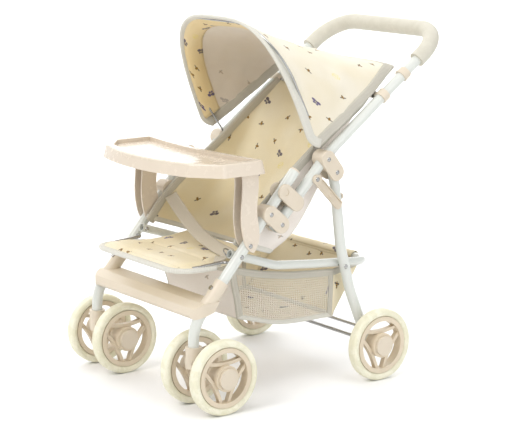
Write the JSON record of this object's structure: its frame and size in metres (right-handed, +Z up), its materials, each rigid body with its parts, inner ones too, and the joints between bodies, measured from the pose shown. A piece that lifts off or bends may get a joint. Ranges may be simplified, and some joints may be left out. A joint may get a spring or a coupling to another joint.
{
  "type": "doll stroller",
  "caption": "Folding stroller for a doll: tube frame on swivel front casters, with a sling seat, a lap tray, a folding hood, a basket and a foam-covered handle.",
  "frame": {"origin": "on the floor, at the middle of the overall box", "axes": "+X to the stroller's left, +Y to the rear where the handle is, +Z up; the stroller faces -Y"},
  "size_m": [0.3722, 0.508, 0.5505],
  "materials": {
    "frame_paint": "gloss",
    "tube_cap_plastic": "satin",
    "footrest_plastic": "satin",
    "bracket_plastic": "satin",
    "rivet_steel": "satin",
    "wire_steel": "satin",
    "axle_steel": "satin",
    "seat_cloth": "woven, printed",
    "belt_webbing": "webbing",
    "grip_foam": "closed-cell foam",
    "hood_cloth": "woven, printed",
    "basket_cloth": "mesh with woven panels",
    "caster_plastic": "satin",
    "hub_cap_plastic": "satin",
    "rim_plastic": "satin",
    "tyre_foam": "foam, marbled",
    "tray_plastic": "gloss"
  },
  "bodies": {
    "front_frame": {"front_tube_left": "frame_paint", "front_tube_right": "frame_paint", "front_tube_caps": "tube_cap_plastic", "footrest": "footrest_plastic", "lower_bracket_left": "bracket_plastic", "lower_bracket_right": "bracket_plastic", "frame_rivets": "rivet_steel", "frame_pivot_pins": "rivet_steel", "caster_stems": "axle_steel", "seat_loop": "wire_steel", "seat_pan": "seat_cloth", "lap_belt": "belt_webbing"},
    "handle": {"handle_tube": "frame_paint", "handle_grip": "grip_foam", "upper_bracket_left": "bracket_plastic", "upper_bracket_right": "bracket_plastic", "handle_pivot_pins": "rivet_steel", "back_clips": "bracket_plastic", "back_rod": "wire_steel", "hood_clips": "bracket_plastic", "hood_clip_screws": "rivet_steel", "seat_back": "seat_cloth", "hood": "hood_cloth"},
    "rear_legs": {"rear_leg_left": "frame_paint", "rear_leg_right": "frame_paint", "rear_axle": "axle_steel", "cross_rod": "wire_steel", "leg_stops": "bracket_plastic", "leg_rivets": "rivet_steel", "axle_spacers": "bracket_plastic", "rear_hub_caps": "hub_cap_plastic"},
    "side_rail": {"side_rail": "frame_paint", "rail_rivets": "rivet_steel", "basket": "basket_cloth"},
    "hood_bow": {"hood_wire": "wire_steel"},
    "tray": {"tray": "tray_plastic", "tray_arm_left": "tray_plastic", "tray_arm_right": "tray_plastic"},
    "latch_collar_left": {"latch_collar_left": "bracket_plastic"},
    "lock_lever_left": {"lock_lever_left": "bracket_plastic"},
    "caster_left": {"caster_fork_left": "caster_plastic", "front_axle_left": "axle_steel", "front_hub_caps_left": "hub_cap_plastic"},
    "latch_collar_right": {"latch_collar_right": "bracket_plastic"},
    "lock_lever_right": {"lock_lever_right": "bracket_plastic"},
    "caster_right": {"caster_fork_right": "caster_plastic", "front_axle_right": "axle_steel", "front_hub_caps_right": "hub_cap_plastic"},
    "wheel_front_left_outer": {"rim_front_left_outer": "rim_plastic", "tyre_front_left_outer": "tyre_foam"},
    "wheel_front_left_inner": {"rim_front_left_inner": "rim_plastic", "tyre_front_left_inner": "tyre_foam"},
    "wheel_front_right_inner": {"rim_front_right_inner": "rim_plastic", "tyre_front_right_inner": "tyre_foam"},
    "wheel_front_right_outer": {"rim_front_right_outer": "rim_plastic", "tyre_front_right_outer": "tyre_foam"},
    "wheel_rear_left": {"rim_rear_left": "rim_plastic", "tyre_rear_left": "tyre_foam"},
    "wheel_rear_right": {"rim_rear_right": "rim_plastic", "tyre_rear_right": "tyre_foam"}
  },
  "joints": [
    {"name": "fold", "type": "hinge", "parent": "front_frame", "child": "handle", "pos_m": [0, -0.07605, 0.2575], "axis": [1, 0, 0], "range_deg": [-105, 0], "deforming": ["seat_back"]},
    {"name": "leg_fold", "type": "hinge", "parent": "handle", "child": "rear_legs", "pos_m": [0, 0.02505, 0.3248], "axis": [1, 0, 0], "range_deg": [0, 61.2]},
    {"name": "rail_fold", "type": "hinge", "parent": "front_frame", "child": "side_rail", "pos_m": [0, -0.1456, 0.21744], "axis": [1, 0, 0], "range_deg": [-72.7, 0], "deforming": ["basket"]},
    {"name": "hood_fold", "type": "hinge", "parent": "handle", "child": "hood_bow", "pos_m": [0, 0.00906, 0.34561], "axis": [1, 0, 0], "range_deg": [-40, 0], "deforming": ["hood"]},
    {"name": "tray_swing", "type": "hinge", "parent": "front_frame", "child": "tray", "pos_m": [0, -0.13228, 0.23276], "axis": [1, 0, 0], "range_deg": [0, 60]},
    {"name": "latch_collar_left_slide", "type": "slide", "parent": "handle", "child": "latch_collar_left", "axis": [0, 0.6948, 0.7192], "range_m": [0, 0.024]},
    {"name": "lock_lever_left_tilt", "type": "hinge", "parent": "handle", "child": "lock_lever_left", "pos_m": [0.1443, -0.01203, 0.31801], "axis": [1, 0, 0], "range_deg": [0, 18]},
    {"name": "caster_left_swivel", "type": "hinge", "parent": "front_frame", "child": "caster_left", "pos_m": [0.134, -0.22505, 0.055], "axis": [0, 0, 1], "continuous": true},
    {"name": "latch_collar_right_slide", "type": "slide", "parent": "handle", "child": "latch_collar_right", "axis": [0, 0.6948, 0.7192], "range_m": [0, 0.024]},
    {"name": "lock_lever_right_tilt", "type": "hinge", "parent": "handle", "child": "lock_lever_right", "pos_m": [-0.1443, -0.01203, 0.31801], "axis": [1, 0, 0], "range_deg": [0, 18]},
    {"name": "caster_right_swivel", "type": "hinge", "parent": "front_frame", "child": "caster_right", "pos_m": [-0.134, -0.22505, 0.055], "axis": [0, 0, 1], "continuous": true},
    {"name": "wheel_front_left_outer_spin", "type": "hinge", "parent": "caster_left", "child": "wheel_front_left_outer", "pos_m": [0, -0.19905, 0.055], "axis": [1, 0, 0], "continuous": true},
    {"name": "wheel_front_left_inner_spin", "type": "hinge", "parent": "caster_left", "child": "wheel_front_left_inner", "pos_m": [0, -0.19905, 0.055], "axis": [1, 0, 0], "continuous": true},
    {"name": "wheel_front_right_inner_spin", "type": "hinge", "parent": "caster_right", "child": "wheel_front_right_inner", "pos_m": [0, -0.19905, 0.055], "axis": [1, 0, 0], "continuous": true},
    {"name": "wheel_front_right_outer_spin", "type": "hinge", "parent": "caster_right", "child": "wheel_front_right_outer", "pos_m": [0, -0.19905, 0.055], "axis": [1, 0, 0], "continuous": true},
    {"name": "wheel_rear_left_spin", "type": "hinge", "parent": "rear_legs", "child": "wheel_rear_left", "pos_m": [0, 0.09495, 0.055], "axis": [1, 0, 0], "continuous": true},
    {"name": "wheel_rear_right_spin", "type": "hinge", "parent": "rear_legs", "child": "wheel_rear_right", "pos_m": [0, 0.09495, 0.055], "axis": [1, 0, 0], "continuous": true}
  ],
  "couplings": [
    {"joint": "leg_fold", "follows": "fold", "ratio": -0.578},
    {"joint": "rail_fold", "follows": "fold", "ratio": 0.688}
  ]
}
